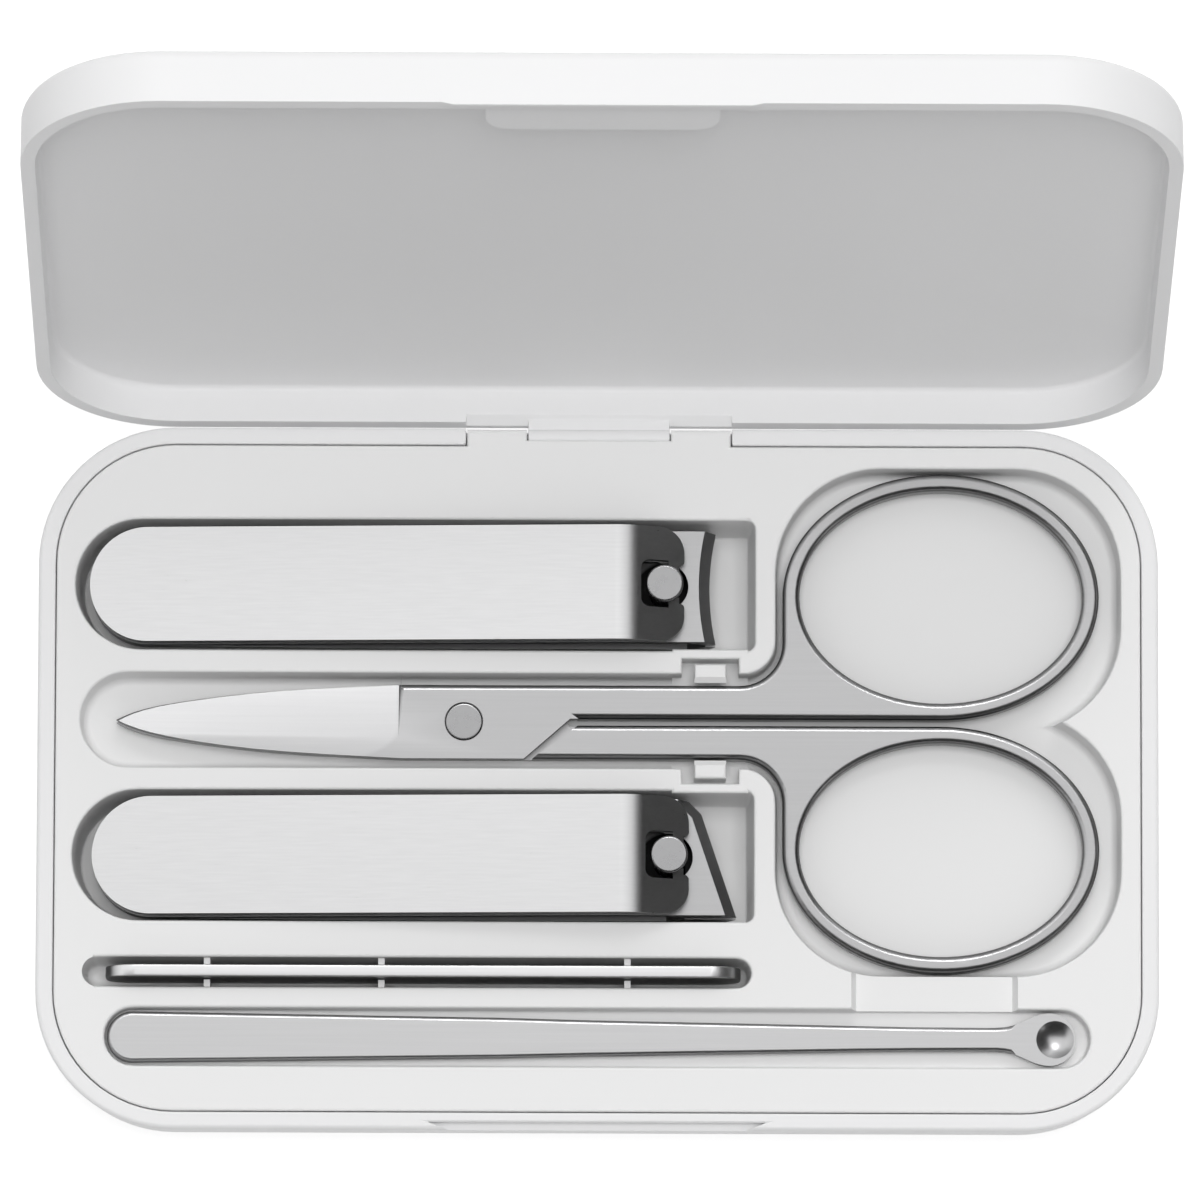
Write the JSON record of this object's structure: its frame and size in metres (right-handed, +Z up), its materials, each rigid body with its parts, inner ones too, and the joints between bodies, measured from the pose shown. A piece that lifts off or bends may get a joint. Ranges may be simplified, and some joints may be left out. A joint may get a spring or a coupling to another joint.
{
  "type": "manicure set case",
  "caption": "Flat hinged case with a fitted tray of folding nail clippers, scissors, a nail file and an ear pick; the lid swings on a rear hinge and shuts on magnets.",
  "frame": {"origin": "centre of the base's flat underside", "axes": "+X along the case to the right, +Y towards the hinge, +Z up"},
  "size_m": [0.116, 0.1014, 0.0788],
  "materials": {
    "case_plastic": "smooth satin moulded, white",
    "tray_plastic": "smooth satin moulded, white",
    "clipper_steel": "satin stainless",
    "scissors_steel": "satin stainless",
    "file_steel": "stainless with a fine abrasive face",
    "pick_steel": "satin stainless",
    "pin_steel": "turned stainless",
    "magnet": "nickel-plated, hidden"
  },
  "bodies": {
    "case": {"base_shell": "case_plastic", "tray_insert": "tray_plastic", "base_magnet": "magnet", "hinge_pin": "pin_steel"},
    "lid": {"lid_shell": "case_plastic", "lid_magnet": "magnet"},
    "clipper_a": {"clipper_a_lower_arm": "clipper_steel", "clipper_a_pin": "pin_steel", "clipper_a_rear_rivet": "pin_steel"},
    "clipper_a_jaw": {"clipper_a_upper_arm": "clipper_steel"},
    "clipper_a_handle": {"clipper_a_lever": "clipper_steel"},
    "clipper_b": {"clipper_b_lower_arm": "clipper_steel", "clipper_b_pin": "pin_steel", "clipper_b_rear_rivet": "pin_steel"},
    "clipper_b_jaw": {"clipper_b_upper_arm": "clipper_steel"},
    "clipper_b_handle": {"clipper_b_lever": "clipper_steel"},
    "scissors_pivot": {"scissors_rivet": "pin_steel"},
    "scissors_upper": {"scissors_upper_half": "scissors_steel"},
    "scissors_lower": {"scissors_lower_half": "scissors_steel"},
    "file": {"nail_file": "file_steel"},
    "pick": {"ear_pick": "pick_steel"}
  },
  "joints": [
    {"name": "lid_hinge", "type": "hinge", "parent": "case", "child": "lid", "pos_m": [0, 0.0356, 0.0106], "axis": [-1, 0, 0], "range_deg": [-108, 0]},
    {"name": "clipper_a_lift", "type": "slide", "parent": "case", "child": "clipper_a", "axis": [0, 0, 1], "range_m": [0, 0.06]},
    {"name": "clipper_a_bite", "type": "hinge", "parent": "clipper_a", "child": "clipper_a_jaw", "pos_m": [-0.0481, 0.02007, 0.0066], "axis": [0, 1, 0], "range_deg": [0, 1.4], "stiffness_Nm_per_rad": 40},
    {"name": "clipper_a_lever_tip", "type": "hinge", "parent": "clipper_a", "child": "clipper_a_handle", "pos_m": [0.00749, 0.02007, 0.01263], "axis": [0, 1, 0], "range_deg": [0, 150]},
    {"name": "clipper_b_lift", "type": "slide", "parent": "case", "child": "clipper_b", "axis": [0, 0, 1], "range_m": [0, 0.06]},
    {"name": "clipper_b_bite", "type": "hinge", "parent": "clipper_b", "child": "clipper_b_jaw", "pos_m": [-0.0477, -0.00813, 0.0066], "axis": [0, 1, 0], "range_deg": [0, 1.4], "stiffness_Nm_per_rad": 40},
    {"name": "clipper_b_lever_tip", "type": "hinge", "parent": "clipper_b", "child": "clipper_b_handle", "pos_m": [0.008, -0.00813, 0.01263], "axis": [0, 1, 0], "range_deg": [0, 150]},
    {"name": "scissors_lift", "type": "slide", "parent": "case", "child": "scissors_pivot", "axis": [0, 0, 1], "range_m": [0, 0.2]},
    {"name": "scissors_upper_open", "type": "hinge", "parent": "scissors_pivot", "child": "scissors_upper", "pos_m": [-0.0139, 0.00595, 0.0096], "axis": [0, 0, 1], "range_deg": [0, 20]},
    {"name": "scissors_lower_open", "type": "hinge", "parent": "scissors_pivot", "child": "scissors_lower", "pos_m": [-0.0139, 0.00595, 0.0096], "axis": [0, 0, 1], "range_deg": [-20, 0]},
    {"name": "file_lift", "type": "slide", "parent": "case", "child": "file", "axis": [0, 0, 1], "range_m": [0, 0.06]},
    {"name": "pick_lift", "type": "slide", "parent": "case", "child": "pick", "axis": [0, 0, 1], "range_m": [0, 0.06]}
  ],
  "couplings": [
    {"joint": "scissors_upper_open", "follows": "scissors_lift", "rad_per_m": 1.74},
    {"joint": "scissors_lower_open", "follows": "scissors_lift", "rad_per_m": -1.74}
  ]
}
